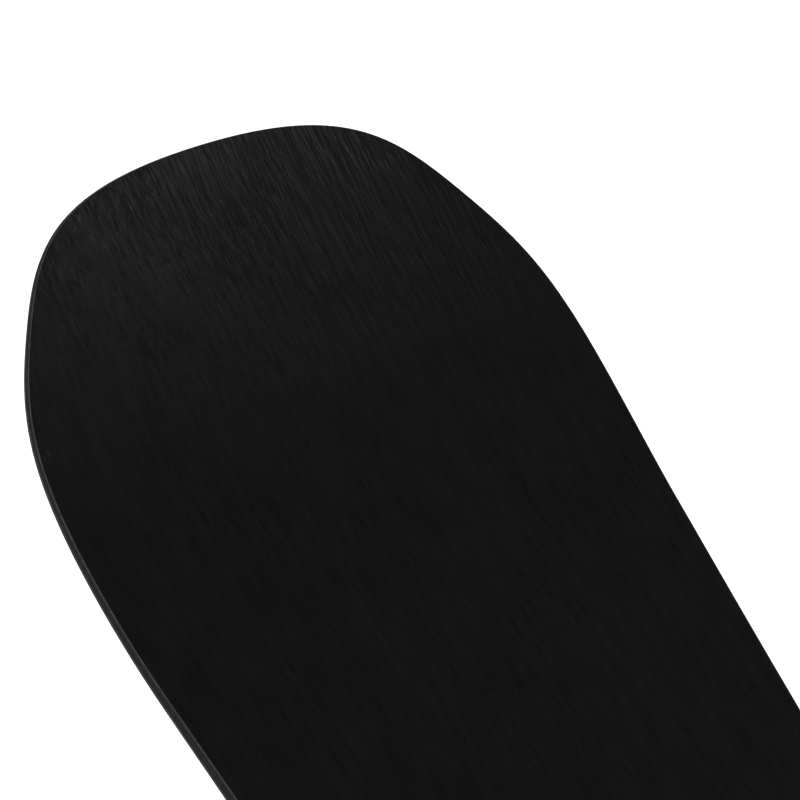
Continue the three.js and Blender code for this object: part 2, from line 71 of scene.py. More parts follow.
# ------------------------------------------------------- the studio and light
# A floor far larger than the board, white to the eye and grey to the board, a
# small light high on the right that the lifted nose throws back, a broad one
# from behind on the left, and an even sky, also dimmer for the board.
FLOOR_SIZE = 400
FLOOR_DROP = 0.5 * MM
FLOOR_GREY = (0.35, 0.35, 0.35, 1)
FLOOR_WHITE = (0.9, 0.9, 0.9, 1)
WHITE = (1, 1, 1, 1)


def lay(tree, kind, settings=None, **inputs):
    """Adds a shader node. An input is a value, or another node's output, and
    is given by its name, or by its number after an underscore."""
    item = tree.nodes.new("ShaderNode" + kind)
    for name, value in (settings or {}).items():
        setattr(item, name, value)
    for name, value in inputs.items():
        key = int(name[1:]) if name[1:].isdigit() else name.replace("_", " ")
        socket = item.inputs[key]
        if isinstance(value, bpy.types.NodeSocket):
            tree.links.new(value, socket)
        else:
            socket.default_value = value
    return item


bpy.ops.mesh.primitive_plane_add(size=FLOOR_SIZE)
floor = bpy.context.object
floor.name = "studio_floor"
floor.location.z = -FLOOR_DROP
floor_paint = bpy.data.materials.new("white_floor")
floor_paint.use_nodes = True
floor_tree = floor_paint.node_tree
floor_shader = floor_tree.nodes["Principled BSDF"]
floor_shader.inputs["Roughness"].default_value = 0.9
floor_shader.inputs["Specular IOR Level"].default_value = 0.0
floor_shader.inputs["Emission Color"].default_value = WHITE
seen = lay(floor_tree, "LightPath").outputs["Is Camera Ray"]
floor_tone = lay(floor_tree, "Mix", {"data_type": "RGBA"}, _0=seen, _6=FLOOR_GREY, _7=FLOOR_WHITE)
floor_tree.links.new(floor_tone.outputs[2], floor_shader.inputs["Base Color"])
floor_tree.links.new(seen, floor_shader.inputs["Emission Strength"])
floor.data.materials.append(floor_paint)


def soft_light(name, place, aim, size, power):
    """A round lamp turned towards a place, not seen itself."""
    data = bpy.data.lights.new(name, "AREA")
    data.shape = "DISK"
    data.size = size
    data.energy = power
    lamp = bpy.data.objects.new(name, data)
    lamp.location = place
    lamp.rotation_euler = (Vector(aim) - Vector(place)).to_track_quat("-Z", "Y").to_euler()
    lamp.visible_camera = False
    bpy.context.scene.collection.objects.link(lamp)


soft_light("nose_light", (1.40, 0.385, 2.88), (0, 0.7, 0), 0.35, 4.6)
soft_light("side_light", (-2.4, -1.6, 2.2), (0, 0, 0), 1.6, 60)

world = bpy.data.worlds.new("studio")
bpy.context.scene.world = world
world.use_nodes = True
sky = world.node_tree
sky.nodes.clear()
for_board = lay(sky, "Background", Strength=0.5)
for_eye = lay(sky, "Background", Strength=1.0)
for background in (for_board, for_eye):
    background.inputs["Color"].default_value = WHITE
looked_at = lay(sky, "LightPath").outputs["Is Camera Ray"]
choice = lay(sky, "MixShader", _0=looked_at, _1=for_board.outputs[0], _2=for_eye.outputs[0])
sky.links.new(choice.outputs[0], lay(sky, "OutputWorld").inputs["Surface"])
bpy.context.scene.view_settings.view_transform = "Standard"


# ------------------------------------------------------------------- the base
# Black sintered polyethylene, ground flat and textured by a stone. It lies
# inside the steel edges and is pressed to the board's rockered side profile.
BOARD_LENGTH = 1580 * MM
NOSE_HALF = 152 * MM
NOSE_LENGTH = 280 * MM
TAIL_HALF = 149.5 * MM
TAIL_LENGTH = 262 * MM
SIDECUT_RADIUS = 7500 * MM
SIDECUT_ENTRY = 0.072
SEAM_HALF = 0.175 * MM
CURVE_STEPS = 30
DRAWN_HALF = 152
DRAWN_LENGTH = 280
SHOULDER = (126, 57.3)
SHOULDER_ANGLE = 1.028
TIP_FLATNESS = 84.3
SHOULDER_PULL = 39.9
FLANK_PULL = 62.1
FLANK_RUN = 146.8
NOSE_KICK = 42 * MM
NOSE_KICK_LENGTH = 250 * MM
TAIL_KICK = 34 * MM
TAIL_KICK_LENGTH = 225 * MM
KICK_POWER = 1.65
CREASE_STEP = 6 * MM
TIP_CREASES = 45
FOOT_THICKNESS = 8 * MM
TIP_THICKNESS = 4.4 * MM
THIN_LENGTH = 130 * MM
TAPER_LENGTH = 430 * MM
EDGE_WIDTH = 2.2 * MM
GLUE_LINE = 0.1 * MM
BASE_THICKNESS = 1.3 * MM
CORE_BOTTOM = 2.1 * MM
CORE_TOP = 6.4 * MM
WELD_DISTANCE = 1e-6
LEVEL_TOLERANCE = 1e-7
PLACE_DIGITS = 6
LAYER_BLEND_ANGLE = 28


def bend(a, b, c, d):
    """Points of a cubic curve, without its first."""
    shares = [i / CURVE_STEPS for i in range(1, CURVE_STEPS + 1)]
    return [a * (1 - t) ** 3 + b * 3 * t * (1 - t) ** 2 + c * 3 * t * t * (1 - t) + d * t ** 3
            for t in shares]


def tip_curve(half_width, length):
    """Half of one end of the board: (out from the seam, back from the tip).
    The curve is drawn for one nose and stretched to the size of this end."""
    across, along = half_width / DRAWN_HALF, length / DRAWN_LENGTH
    heading = (across * math.cos(SHOULDER_ANGLE), along * math.sin(SHOULDER_ANGLE))
    shoulder = Vector((SHOULDER[0] * across, SHOULDER[1] * along))
    front_pull = Vector((SHOULDER_PULL * heading[0], SHOULDER_PULL * heading[1]))
    back_pull = Vector((FLANK_PULL * heading[0], FLANK_PULL * heading[1]))
    run = FLANK_RUN * along
    widest = Vector((half_width + SIDECUT_ENTRY * run, length - run))
    front = bend(Vector((0, 0)), Vector((TIP_FLATNESS * across, 0)), shoulder - front_pull, shoulder)
    side = bend(shoulder, shoulder + back_pull, widest, Vector((half_width, length)))
    return front + side


def board_outline(inset=0.0):
    """The whole outline as seen from above, moved inwards by a distance."""
    tip = BOARD_LENGTH / 2
    nose = [Vector((p.x, tip - p.y)) for p in tip_curve(NOSE_HALF, NOSE_LENGTH)]
    tail = [Vector((p.x, p.y - tip)) for p in tip_curve(TAIL_HALF, TAIL_LENGTH)][::-1]
    start, end = nose[-1], tail[0]
    run = start.y - end.y
    sidecut = []
    for i in range(1, 2 * CURVE_STEPS):
        share = i / (2 * CURVE_STEPS)
        sag = share * (1 - share) * run * run / (2 * SIDECUT_RADIUS)
        sidecut.append(start.lerp(end, share) - Vector((sag, 0)))
    right = nose + sidecut + tail
    line = [Vector((0, tip))] + right + [Vector((0, -tip))]
    line += [Vector((-p.x, p.y)) for p in reversed(right)]
    moved = []
    for i, point in enumerate(line):
        step = (line[(i + 1) % len(line)] - line[i - 1]).normalized()
        moved.append(point + Vector((step.y, -step.x)) * inset)
    return moved


def board_rise(y):
    """Height of the flat running base above the ground, with both kicks."""
    nose = (y - (BOARD_LENGTH / 2 - NOSE_KICK_LENGTH)) / NOSE_KICK_LENGTH
    tail = (-BOARD_LENGTH / 2 + TAIL_KICK_LENGTH - y) / TAIL_KICK_LENGTH
    return NOSE_KICK * max(nose, 0) ** KICK_POWER + TAIL_KICK * max(tail, 0) ** KICK_POWER


def pressed_height(y, z):
    """Where the press leaves a point of the flat stack: the core thins out."""
    from_tip = BOARD_LENGTH / 2 - abs(y)
    full = min(max((from_tip - THIN_LENGTH) / (TAPER_LENGTH - THIN_LENGTH), 0), 1)
    loss = (FOOT_THICKNESS - TIP_THICKNESS) * (1 - full)
    share = min(max((z - CORE_BOTTOM) / (CORE_TOP - CORE_BOTTOM), 0), 1)
    return board_rise(y) + z - loss * share


def press_stations():
    """Places along the board where a layer is creased to follow the press."""
    half = BOARD_LENGTH / 2
    kicks = [half - CREASE_STEP * i for i in range(1, TIP_CREASES + 1)]
    ends = kicks + [half - THIN_LENGTH, half - TAPER_LENGTH]
    return ends + [-y for y in ends]


def only(*things):
    """Selects these objects and no others, the first as the active one."""
    bpy.ops.object.select_all(action="DESELECT")
    for thing in things:
        thing.select_set(True)
    bpy.context.view_layer.objects.active = things[0]


def place_key(co):
    """A place to the nearest micrometre, to look vertices up by."""
    return tuple(round(value, PLACE_DIGITS) for value in co)


def stack_loops(name, loops, closed_ring=False):
    """Closed skin over a row of outlines: a circle is laid on the first one and
    its edge is extruded on to each of the others, given as (points, height)."""
    bpy.ops.object.select_all(action="DESELECT")
    bpy.ops.mesh.primitive_circle_add(vertices=len(loops[0][0]), radius=1)
    piece = bpy.context.object
    piece.name = name
    piece.data.name = name
    places = [[Vector((p.x, p.y, z)) for p in points] for points, z in loops]
    for vertex, place in zip(piece.data.vertices, places[0]):
        vertex.co = place
    bpy.ops.object.mode_set(mode="EDIT")
    bpy.ops.mesh.select_mode(type="EDGE")
    bpy.ops.mesh.select_all(action="SELECT")
    if not closed_ring:
        bpy.ops.mesh.edge_face_add()
    for before, after in zip(places, places[1:]):
        bpy.ops.mesh.extrude_edges_move()
        follow = {place_key(a): b for a, b in zip(before, after)}
        skin = bmesh.from_edit_mesh(piece.data)
        for vertex in [v for v in skin.verts if v.select]:
            vertex.co = follow[place_key(vertex.co)]
        bmesh.update_edit_mesh(piece.data)
    if closed_ring:
        select_points(piece, places[0] + places[-1])
        bpy.ops.mesh.bridge_edge_loops()
    else:
        bpy.ops.mesh.edge_face_add()
    bpy.ops.mesh.select_all(action="SELECT")
    bpy.ops.mesh.normals_make_consistent(inside=False)
    bpy.ops.object.mode_set(mode="OBJECT")
    return piece


def select_points(piece, points):
    """Selects the vertices at these places, with the edges between them."""
    wanted = {place_key(p) for p in points}
    bpy.ops.mesh.select_all(action="DESELECT")
    skin = bmesh.from_edit_mesh(piece.data)
    for vertex in skin.verts:
        vertex.select = place_key(vertex.co) in wanted
    for edge in skin.edges:
        edge.select = all(v.select for v in edge.verts) and is_level(edge)
    bmesh.update_edit_mesh(piece.data)


def is_level(edge):
    start, end = (v.co for v in edge.verts)
    return abs(start.z - end.z) <= LEVEL_TOLERANCE


def slice_at(place, normal, **ways):
    """Cuts the whole mesh in edit mode along a plane."""
    bpy.ops.mesh.select_all(action="SELECT")
    bpy.ops.mesh.bisect(plane_co=place, plane_no=normal, **ways)


def saw_half(whole, name, side, cut_at=SEAM_HALF, stretch=None, smooth=LAYER_BLEND_ANGLE):
    """One half of a full-width layer, cut along the seam, creased and pressed.
    stretch keeps only what lies between two places along the board; smooth is
    the angle in degrees up to which neighbouring faces blend."""
    half = whole.copy()
    half.data = whole.data.copy()
    half.name = name
    half.data.name = name
    bpy.context.scene.collection.objects.link(half)
    only(half)
    sign = 1 if side == "right" else -1
    bpy.ops.object.mode_set(mode="EDIT")
    slice_at((sign * cut_at, 0, 0), (sign, 0, 0), use_fill=True, clear_inner=True)
    if stretch:
        slice_at((0, stretch[0], 0), (0, 1, 0), use_fill=True, clear_inner=True)
        slice_at((0, stretch[1], 0), (0, 1, 0), use_fill=True, clear_outer=True)
    for y in press_stations():
        if stretch is None or stretch[0] < y < stretch[1]:
            slice_at((0, y, 0), (0, 1, 0))
    bpy.ops.mesh.select_all(action="SELECT")
    bpy.ops.mesh.remove_doubles(threshold=WELD_DISTANCE)
    bpy.ops.mesh.normals_make_consistent(inside=False)
    bpy.ops.object.mode_set(mode="OBJECT")
    for vertex in half.data.vertices:
        vertex.co.z = pressed_height(vertex.co.y, vertex.co.z)
    bpy.ops.object.shade_smooth_by_angle(angle=math.radians(smooth))
    return half


def finish_piece(piece, paints, body, node):
    """Paints a piece, ties it to its body and hides the solid it replaces."""
    for paint in paints:
        piece.data.materials.append(paint)
    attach(piece, body)
    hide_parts(node)


SIDES = ("left", "right")
base_line = board_outline(EDGE_WIDTH + GLUE_LINE)
whole_base = stack_loops("whole_base", [(base_line, 0.0), (base_line, BASE_THICKNESS)])


def new_group(name, inputs, outputs):
    """An empty node group, its inputs given with their usual values."""
    tree = bpy.data.node_groups.new(name, "ShaderNodeTree")
    for socket, value in inputs.items():
        made = tree.interface.new_socket(socket, in_out="INPUT", socket_type="NodeSocketFloat")
        made.default_value = value
    for socket in outputs:
        tree.interface.new_socket(socket, in_out="OUTPUT", socket_type="NodeSocketFloat")
    source = tree.nodes.new("NodeGroupInput")
    sink = tree.nodes.new("NodeGroupOutput")
    return tree, source, sink


def streak_group():
    """Long streaks along the board: Across and Along are streaks per metre."""
    usual = {"Across": 600, "Along": 40, "Low": 0.3, "High": 0.7}
    tree, source, sink = new_group("board_streaks", usual, ["Streak"])
    place = lay(tree, "TexCoord").outputs["Object"]
    across, along = source.outputs["Across"], source.outputs["Along"]
    scale = lay(tree, "CombineXYZ", X=across, Y=along, Z=along).outputs[0]
    spread = lay(tree, "VectorMath", {"operation": "MULTIPLY"}, _0=place, _1=scale).outputs[0]
    noise = lay(tree, "TexNoise", Vector=spread, Scale=1.0, Detail=1.5, Roughness=0.5).outputs[0]
    level = lay(tree, "MapRange", _0=noise, _1=source.outputs["Low"], _2=source.outputs["High"])
    tree.links.new(level.outputs[0], sink.inputs["Streak"])
    return tree


def cloud_group():
    """Soft mottling, for handling marks and dull patches: Size per metre."""
    usual = {"Size": 30, "Low": 0.35, "High": 0.75}
    tree, source, sink = new_group("handling_marks", usual, ["Mark"])
    place = lay(tree, "TexCoord").outputs["Object"]
    size = source.outputs["Size"]
    noise = lay(tree, "TexNoise", Vector=place, Scale=size, Detail=5.0, Roughness=0.6).outputs[0]
    level = lay(tree, "MapRange", _0=noise, _1=source.outputs["Low"], _2=source.outputs["High"])
    tree.links.new(level.outputs[0], sink.inputs["Mark"])
    return tree


board_streaks = streak_group()
handling_marks = cloud_group()


def new_paint(name, roughness=0.5, metallic=0.0, specular=0.5):
    paint = bpy.data.materials.new(name)
    paint.use_nodes = True
    shader = paint.node_tree.nodes["Principled BSDF"]
    shader.inputs["Roughness"].default_value = roughness
    shader.inputs["Metallic"].default_value = metallic
    shader.inputs["Specular IOR Level"].default_value = specular
    return paint, paint.node_tree, shader


def streaks(tree, across, along, low=0.3, high=0.7):
    group = {"node_tree": board_streaks}
    return lay(tree, "Group", group, Across=across, Along=along, Low=low, High=high).outputs["Streak"]


def marks(tree, size, low=0.35, high=0.75):
    group = {"node_tree": handling_marks}
    return lay(tree, "Group", group, Size=size, Low=low, High=high).outputs["Mark"]


def tint(tree, amount, first, second):
    """A colour from the first to the second, by a pattern from 0 to 1."""
    mix = lay(tree, "Mix", {"data_type": "RGBA"}, _0=amount, _6=(*first, 1), _7=(*second, 1))
    return mix.outputs[2]


def between(tree, amount, low, high):
    """A value from low to high, by a pattern from 0 to 1."""
    return lay(tree, "MapRange", _0=amount, _3=low, _4=high).outputs[0]


def blend_of(tree, first, second, share):
    return lay(tree, "Mix", _0=share, _2=first, _3=second).outputs[0]


def relief(tree, shader, height, depth, strength=1.0):
    bump = lay(tree, "Bump", Height=height, Distance=depth, Strength=strength)
    tree.links.new(bump.outputs[0], shader.inputs["Normal"])


def base_paint():
    paint, tree, shader = new_paint("stone_ground_base", roughness=0.4, specular=0.4)
    lines = streaks(tree, 1500, 22)
    haze = marks(tree, 18)
    pattern = blend_of(tree, lines, haze, 0.4)
    colour = tint(tree, pattern, (0.010, 0.010, 0.011), (0.022, 0.022, 0.024))
    tree.links.new(colour, shader.inputs["Base Color"])
    tree.links.new(between(tree, pattern, 0.32, 0.5), shader.inputs["Roughness"])
    relief(tree, shader, lines, 0.00004, 0.7)
    return paint


sintered = base_paint()
for side in SIDES:
    half = saw_half(whole_base, f"running_base_{side}", side, cut_at=SEAM_HALF + EDGE_WIDTH + GLUE_LINE)
    finish_piece(half, [sintered], f"{side}_half", f"base_{side}")
bpy.data.objects.remove(whole_base)


# ------------------------------------------------------------ the steel edges
# Hardened steel strip, 2.2 mm wide. The outer one runs right round each half
# from seam to seam; the straight inner one lies along the seam.
EDGE_HEIGHT = 2.0 * MM
EDGE_BREAK = 0.15 * MM


def edge_paint():
    paint, tree, shader = new_paint("ground_edge_steel", metallic=1.0)
    lines = streaks(tree, 900, 60)
    stain = marks(tree, 55, 0.5, 0.8)
    pattern = blend_of(tree, lines, stain, 0.45)
    colour = tint(tree, pattern, (0.26, 0.26, 0.27), (0.12, 0.118, 0.115))
    tree.links.new(colour, shader.inputs["Base Color"])
    tree.links.new(between(tree, pattern, 0.28, 0.5), shader.inputs["Roughness"])
    relief(tree, shader, lines, 0.00003, 0.6)
    return paint


edge_steel = edge_paint()
edge_out = board_outline()
edge_out_break = board_outline(EDGE_BREAK)
edge_in = board_outline(EDGE_WIDTH)
whole_edge = stack_loops("whole_edge", [
    (edge_out_break, 0.0), (edge_out, EDGE_BREAK), (edge_out, EDGE_HEIGHT),
    (edge_in, EDGE_HEIGHT), (edge_in, 0.0)], closed_ring=True)
for side in SIDES:
    half = saw_half(whole_edge, f"steel_edge_{side}", side)
    finish_piece(half, [edge_steel], f"{side}_half", f"outer_edge_{side}")
    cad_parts[f"inner_edge_{side}"].material_slots[0].material = edge_steel
bpy.data.objects.remove(whole_edge)


# ------------------------------------------------------- the core and laminates
# Strips of light wood between two sheets of resin-filled glass cloth. Only
# their cut sides can be seen, at the joints between the outer layers.
TOP_SHELL = 0.8 * MM
LAMINATE_BOTTOM = 6.5 * MM
LAMINATE_TOP = 7.1 * MM


def wood_paint():
    paint, tree, shader = new_paint("core_poplar", roughness=0.7)
    strips = streaks(tree, 90, 0.6, 0.4, 0.6)
    pores = streaks(tree, 1400, 30, 0.45, 0.75)
    strip_colour = tint(tree, strips, (0.60, 0.42, 0.22), (0.72, 0.56, 0.34))
    pore_colour = tint(tree, pores, (1, 1, 1), (0.55, 0.45, 0.35))
    way = {"data_type": "RGBA", "blend_type": "MULTIPLY"}
    mix = lay(tree, "Mix", way, _0=0.5, _6=strip_colour, _7=pore_colour)
    tree.links.new(mix.outputs[2], shader.inputs["Base Color"])
    relief(tree, shader, pores, 0.00006)
    return paint


def cloth_paint():
    paint, tree, shader = new_paint("glass_laminate", roughness=0.45)
    weave = streaks(tree, 700, 700, 0.4, 0.6)
    colour = tint(tree, weave, (0.011, 0.011, 0.010), (0.024, 0.024, 0.021))
    tree.links.new(colour, shader.inputs["Base Color"])
    relief(tree, shader, weave, 0.00004)
    return paint


poplar = wood_paint()
glass_cloth = cloth_paint()
for side in SIDES:
    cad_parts[f"core_{side}"].material_slots[0].material = poplar
    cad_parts[f"lower_laminate_{side}"].material_slots[0].material = glass_cloth


# --------------------------------------------------- the sidewalls and spacers
# Dark ABS bonded round the core and milled to a slope after pressing. The
# spacers fill both tips; the seam has a straight wall of its own.
WALL_STEP = 0.2 * MM
WALL_WIDTH = 9 * MM
SPACER_LENGTH = 200 * MM


def wall_paint():
    paint, tree, shader = new_paint("milled_abs", roughness=0.5, specular=0.4)
    cutter = streaks(tree, 260, 260, 0.42, 0.58)
    haze = marks(tree, 60)
    pattern = blend_of(tree, cutter, haze, 0.5)
    colour = tint(tree, pattern, (0.010, 0.010, 0.011), (0.018, 0.018, 0.019))
    tree.links.new(colour, shader.inputs["Base Color"])
    tree.links.new(between(tree, pattern, 0.42, 0.6), shader.inputs["Roughness"])
    relief(tree, shader, cutter, 0.00005)
    return paint


abs_wall = wall_paint()
wall_foot = board_outline(WALL_STEP)
wall_head = board_outline(TOP_SHELL)
wall_back = board_outline(WALL_WIDTH)
whole_wall = stack_loops("whole_wall", [
    (wall_foot, CORE_BOTTOM), (wall_head, CORE_TOP),
    (wall_back, CORE_TOP), (wall_back, CORE_BOTTOM)], closed_ring=True)
whole_spacer = stack_loops("whole_spacer", [(wall_foot, CORE_BOTTOM), (wall_head, CORE_TOP)])
wall_end = BOARD_LENGTH / 2 - SPACER_LENGTH - GLUE_LINE / 2
spacer_start = BOARD_LENGTH / 2 - SPACER_LENGTH + GLUE_LINE / 2
for side in SIDES:
    wall = saw_half(whole_wall, f"side_wall_{side}", side, stretch=(-wall_end, wall_end))
    finish_piece(wall, [abs_wall], f"{side}_half", f"outer_sidewall_{side}")
    nose = saw_half(whole_spacer, f"nose_fill_{side}", side, stretch=(spacer_start, BOARD_LENGTH))
    finish_piece(nose, [abs_wall], f"{side}_half", f"nose_spacer_{side}")
    tail = saw_half(whole_spacer, f"tail_fill_{side}", side, stretch=(-BOARD_LENGTH, -spacer_start))
    finish_piece(tail, [abs_wall], f"{side}_half", f"tail_spacer_{side}")
    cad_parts[f"inner_sidewall_{side}"].material_slots[0].material = abs_wall
bpy.data.objects.remove(whole_wall)
bpy.data.objects.remove(whole_spacer)


# ------------------------------------------------------------ threaded inserts
# Turned stainless barrels on a thin strip, let into the core from below and
# flush with the topsheet: six for each foot and three for the touring bracket.
INSERT_PITCH = 25 * MM
INSERT_COLUMNS = (24 * MM, 64 * MM)
FOOT_OFFSET = 250 * MM
TOURING_OFFSET = 90 * MM
TOURING_COLUMN = 66 * MM
TOURING_SPREAD = 32 * MM
TOURING_PITCH = 38 * MM
BARREL_RADIUS = 4.5 * MM
BARREL_BREAK = 0.2 * MM
THREAD_CREST = 2.6 * MM
THREAD_ROOT = 3.0 * MM
THREAD_PITCH = 1.0 * MM
STRIP_BOTTOM = 2.1 * MM
STRIP_TOP = 2.9 * MM
STRIP_MARGIN = 8 * MM
TURNED_SIDES = 40
ROUNDING_STEPS = 3
ROUNDING_ANGLE = 30
INSERT_BLEND_ANGLE = 25
FASTENER_BLEND_ANGLE = 35


def foot_places(end):
    """Two columns of three, ahead of or behind the middle of the board."""
    return [(x, end * FOOT_OFFSET + row * INSERT_PITCH) for x in INSERT_COLUMNS for row in (-1, 0, 1)]


def touring_places():
    """One insert ahead of a pair, for the bracket of the touring binding."""
    single = (TOURING_COLUMN, TOURING_OFFSET + TOURING_PITCH)
    pair = [(TOURING_COLUMN + way * TOURING_SPREAD / 2, TOURING_OFFSET) for way in (-1, 1)]
    return [single] + pair


INSERT_PACKS = {
    "front_foot_inserts": foot_places(1),
    "rear_foot_inserts": foot_places(-1),
    "touring_inserts": touring_places(),
}


def arc(centre, radius, start, end, steps=8):
    """Points on a circle, from one angle to another, in degrees."""
    turns = [math.radians(start + (end - start) * i / steps) for i in range(steps + 1)]
    return [Vector((centre[0] + radius * math.cos(a), centre[1] + radius * math.sin(a))) for a in turns]


def round_plate(low, high, radius):
    """Outline of a rounded rectangle from its lowest to its highest corner."""
    return (arc((high[0] - radius, low[1] + radius), radius, -90, 0)
            + arc((high[0] - radius, high[1] - radius), radius, 0, 90)
            + arc((low[0] + radius, high[1] - radius), radius, 90, 180)
            + arc((low[0] + radius, low[1] + radius), radius, 180, 270))


def turned(name, profile, centre=(0, 0), sides=TURNED_SIDES):
    """A lathe-turned shape from (radius, height) pairs, closed at both ends."""
    middle = Vector(centre)
    loops = []
    for radius, height in profile:
        circle = arc((0, 0), radius, 0, 360, sides)[:-1]
        loops.append(([middle + point for point in circle], height))
    return stack_loops(name, loops)


def carve(piece, tool, operation="DIFFERENCE"):
    """Cuts one solid with another, or joins them, and removes the tool."""
    only(piece)
    change = piece.modifiers.new("carve", "BOOLEAN")
    change.operation = operation
    change.solver = "EXACT"
    change.object = tool
    bpy.ops.object.modifier_apply(modifier=change.name)
    bpy.data.objects.remove(tool)


def gather(name, pieces):
    """Several separate solids as one object."""
    only(*pieces)
    bpy.ops.object.join()
    joined = bpy.context.object
    joined.name = name
    return joined


def soften(piece, width, angle=ROUNDING_ANGLE):
    """Breaks the sharp edges and smooths the shading between them."""
    only(piece)
    rounding = piece.modifiers.new("rounding", "BEVEL")
    rounding.width = width
    rounding.segments = ROUNDING_STEPS
    rounding.limit_method = "ANGLE"
    rounding.angle_limit = math.radians(angle)
    bpy.ops.object.modifier_apply(modifier=rounding.name)
    bpy.ops.object.shade_smooth_by_angle(angle=math.radians(FASTENER_BLEND_ANGLE))


def barrel_profile():
    """Outside of the barrel, over its rim and down the thread to its floor."""
    rim = BARREL_BREAK
    profile = [(BARREL_RADIUS, STRIP_BOTTOM + rim), (BARREL_RADIUS, FOOT_THICKNESS - rim),
               (BARREL_RADIUS - rim, FOOT_THICKNESS), (THREAD_ROOT + rim, FOOT_THICKNESS),
               (THREAD_ROOT, FOOT_THICKNESS - rim)]
    depth = FOOT_THICKNESS - 2 * rim
    while depth > STRIP_TOP + THREAD_PITCH:
        profile += [(THREAD_CREST, depth - THREAD_PITCH / 2), (THREAD_ROOT, depth - THREAD_PITCH)]
        depth -= THREAD_PITCH
    return profile + [(THREAD_CREST, STRIP_TOP + rim)]


def insert_paint():
    paint, tree, shader = new_paint("turned_stainless", metallic=1.0)
    wear = marks(tree, 140)
    colour = tint(tree, wear, (0.50, 0.50, 0.51), (0.34, 0.34, 0.35))
    tree.links.new(colour, shader.inputs["Base Color"])
    tree.links.new(between(tree, wear, 0.22, 0.42), shader.inputs["Roughness"])
    relief(tree, shader, streaks(tree, 2500, 2500), 0.00002, 0.5)
    return paint


def mirror_to(side, x):
    """A distance from the seam as a place on this side of it."""
    return x if side == "right" else -x


stainless = insert_paint()
for side in SIDES:
    for pack, spots in INSERT_PACKS.items():
        spots = [(mirror_to(side, x), y) for x, y in spots]
        low = [min(spot[k] for spot in spots) - STRIP_MARGIN for k in (0, 1)]
        high = [max(spot[k] for spot in spots) + STRIP_MARGIN for k in (0, 1)]
        strip_line = round_plate(low, high, STRIP_MARGIN / 2)
        strip_faces = [(strip_line, STRIP_BOTTOM), (strip_line, STRIP_TOP)]
        strip = stack_loops(f"{pack}_strip_{side}", strip_faces)
        barrels = [turned(f"barrel_{i}", barrel_profile(), spot) for i, spot in enumerate(spots)]
        carve(strip, gather("barrels", barrels), "UNION")
        only(strip)
        bpy.ops.object.shade_smooth_by_angle(angle=math.radians(INSERT_BLEND_ANGLE))
        finish_piece(strip, [stainless], f"{side}_half", f"{pack}_{side}")


# --------------------------------------------------------------- the topsheet
# Matt black film over a thin wood veneer, so a fine grain runs along the board.
# Its rim is milled to a narrow chamfer that is painted lighter than the film, a
# painted highlight where the edge catches the light, and the film has one small
# nick near the left side of the nose.
SHEET_BOTTOM = 7.2 * MM
SHEET_INSET = 0.9 * MM
CHAMFER_WIDTH = 0.8 * MM
CHAMFER_FOOT = 7.6 * MM
RIM_BREAK = 0.1 * MM
RIM_LIFT = 0.04 * MM
RIM_DROP = 0.05 * MM
FILM_START = 0.2 * MM
FILM_BLEND_ANGLE = 5
HOLE_RADIUS = 4.8 * MM
HOLE_SIDES = 32
SCREW_HOLE_RADIUS = 2.25 * MM
SCREW_HOLE_SIDES = 24
SCREW_HOLE_DEPTH = 2.2 * MM
SCREW_HOLE_HEIGHT = 2 * MM
OVERSHOOT = 1 * MM
HOOK_OFFSET = 338 * MM
CLIP_FROM_TAIL = 70 * MM
HOOK = {"pivot": 34 * MM, "post": 20 * MM, "width": 15 * MM, "length": 34 * MM}
CLIP = {"pivot": 26 * MM, "post": 14 * MM, "width": 12 * MM, "length": 28 * MM}
FASTENERS = {
    "front_hook": (HOOK_OFFSET, HOOK),
    "rear_hook": (-HOOK_OFFSET, HOOK),
    "tail_clip": (CLIP_FROM_TAIL - BOARD_LENGTH / 2, CLIP),
}
SCREW_HEAD_RADIUS = 3.8 * MM
SCREW_TO_END = 2 * MM
NICK_PLACE = (-0.1482, 0.668, 0.0197)
NICK_SIZE = 3 * MM
SLOPE_STEP = 0.5 * MM


def mounting_frame(y):
    """Where a fastener stands: on the topsheet, tilted with its slope."""
    before, height, after = (pressed_height(y + step, FOOT_THICKNESS)
                             for step in (-SLOPE_STEP, 0, SLOPE_STEP))
    tilt = math.atan((after - before) / (2 * SLOPE_STEP))
    return Matrix.Translation((0, y, height)) @ Matrix.Rotation(tilt, 4, "X")


def screw_places(sizes):
    """How far before and behind its middle a plate has its two screws."""
    spread = sizes["length"] / 2 - SCREW_HEAD_RADIUS - SCREW_TO_END
    return {"front": spread, "rear": -spread}


def settle(piece, matrix):
    """Moves the mesh itself, so that the piece's origin stays at zero."""
    piece.data.transform(matrix)
    piece.data.update()


